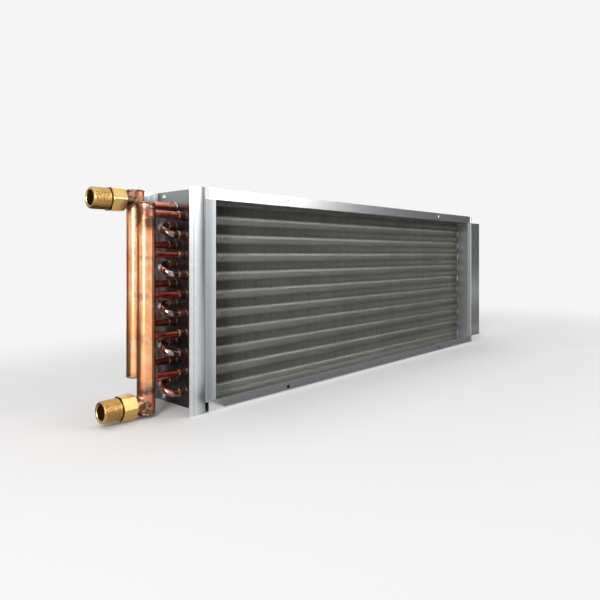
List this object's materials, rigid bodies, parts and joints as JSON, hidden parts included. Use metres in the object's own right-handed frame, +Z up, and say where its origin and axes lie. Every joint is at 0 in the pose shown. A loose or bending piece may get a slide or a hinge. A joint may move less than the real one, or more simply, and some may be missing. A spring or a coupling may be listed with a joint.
{
  "type": "hot water coil",
  "caption": "Hot water duct coil: finned copper tubes in a galvanised casing, with two copper headers and threaded brass connections.",
  "frame": {"origin": "middle of the footprint of the whole coil, on the surface that the casing stands on", "axes": "+X along the tubes away from the headers, +Y with the air from the front face to the rear face, +Z up"},
  "size_m": [0.9124, 0.108, 0.2838],
  "materials": {
    "galvanised": "galvanised, spangled",
    "fins": "satin",
    "tube_copper": "copper, heat stained",
    "header_copper": "copper, bright drawn",
    "brass": "machined brass",
    "rivets": "satin"
  },
  "bodies": {
    "root": {"bend_end_plate": "galvanised", "bottom_tray": "galvanised", "fin_pack": "fins", "front_far_baffle": "galvanised", "front_feeder_1": "tube_copper", "front_feeder_2": "tube_copper", "front_feeder_3": "tube_copper", "front_feeder_4": "tube_copper", "front_feeder_5": "tube_copper", "front_fitting": "brass", "front_hairpin_1": "tube_copper", "front_hairpin_2": "tube_copper", "front_hairpin_3": "tube_copper", "front_hairpin_4": "tube_copper", "front_hairpin_5": "tube_copper", "front_header": "header_copper", "front_header_lower_cap": "header_copper", "front_header_upper_cap": "header_copper", "front_near_baffle": "galvanised", "front_stub_pipe": "header_copper", "header_end_plate": "galvanised", "rear_far_baffle": "galvanised", "rear_feeder_1": "tube_copper", "rear_feeder_2": "tube_copper", "rear_feeder_3": "tube_copper", "rear_feeder_4": "tube_copper", "rear_feeder_5": "tube_copper", "rear_fitting": "brass", "rear_hairpin_1": "tube_copper", "rear_hairpin_2": "tube_copper", "rear_hairpin_3": "tube_copper", "rear_hairpin_4": "tube_copper", "rear_hairpin_5": "tube_copper", "rear_header": "header_copper", "rear_header_lower_cap": "header_copper", "rear_header_upper_cap": "header_copper", "rear_near_baffle": "galvanised", "rear_stub_pipe": "header_copper", "return_bend_1": "tube_copper", "return_bend_2": "tube_copper", "return_bend_3": "tube_copper", "return_bend_4": "tube_copper", "return_bend_5": "tube_copper", "top_tray": "galvanised", "tray_rivets": "rivets"}
  },
  "joints": []
}
